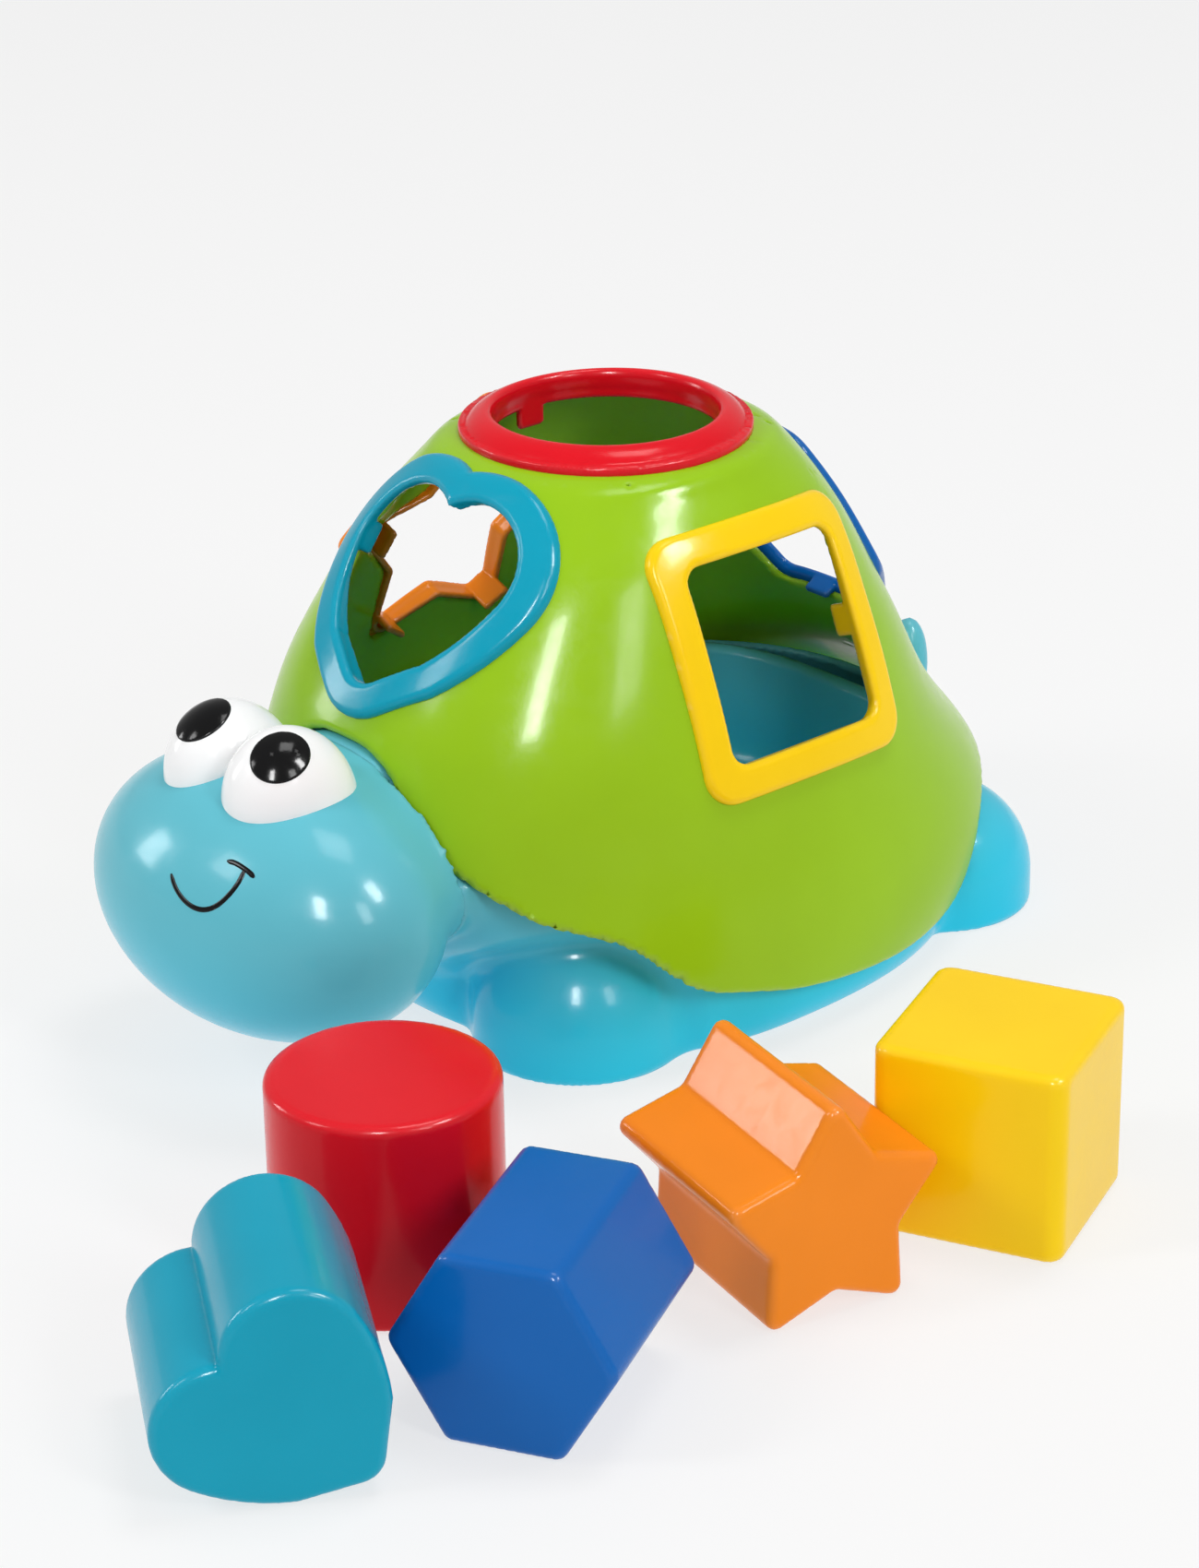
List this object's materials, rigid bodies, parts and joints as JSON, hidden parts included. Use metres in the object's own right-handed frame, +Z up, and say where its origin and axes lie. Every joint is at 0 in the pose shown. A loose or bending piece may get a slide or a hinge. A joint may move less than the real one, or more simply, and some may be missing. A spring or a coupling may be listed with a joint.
{
  "type": "shape sorter",
  "caption": "Turtle-shaped toddler shape sorter with a lift-off shell, framed shape windows and matching loose blocks.",
  "frame": {"origin": "on the floor under the centre of the round top window, in the middle of the base's flat underside", "axes": "+Z up from the floor, -Y towards the turtle's head, +X towards its left side with the square window"},
  "size_m": [0.273, 0.3567, 0.1424],
  "materials": {
    "green": "glossy",
    "red": "glossy",
    "yellow": "glossy",
    "teal": "glossy",
    "blue": "glossy",
    "orange": "glossy",
    "light_blue": "glossy",
    "white": "glossy",
    "black": "glossy",
    "steel": "satin"
  },
  "bodies": {
    "base": {"body_base": "light_blue", "inner_bowl": "light_blue", "head": "light_blue", "head_screws": "steel", "eye_left": "white", "eye_right": "white", "pupil_left": "black", "pupil_right": "black"},
    "lid": {"shell": "green", "rim_circle": "red", "rim_square": "yellow", "rim_heart": "teal", "rim_hexagon": "blue", "rim_star": "orange"},
    "circle": {"circle_block": "red", "circle_plug": "red"},
    "square": {"square_block": "yellow", "square_plug": "yellow"},
    "heart": {"heart_block": "teal", "heart_plug": "teal"},
    "hexagon": {"hexagon_block": "blue", "hexagon_plug": "blue"},
    "star": {"star_block": "orange", "star_plug": "orange"}
  },
  "joints": [
    {"name": "lid_lift", "type": "slide", "parent": "base", "child": "lid", "axis": [0, 0, 1], "range_m": [0, 0.16]},
    {"name": "circle_lift", "type": "slide", "parent": "base", "child": "circle", "axis": [0, 0, 1], "range_m": [0, 0.1]},
    {"name": "square_lift", "type": "slide", "parent": "base", "child": "square", "axis": [0, 0, 1], "range_m": [0, 0.1]},
    {"name": "heart_lift", "type": "slide", "parent": "base", "child": "heart", "axis": [0, 0, 1], "range_m": [0, 0.1]},
    {"name": "hexagon_lift", "type": "slide", "parent": "base", "child": "hexagon", "axis": [0, 0, 1], "range_m": [0, 0.1]},
    {"name": "star_lift", "type": "slide", "parent": "base", "child": "star", "axis": [0, 0, 1], "range_m": [0, 0.1]}
  ]
}
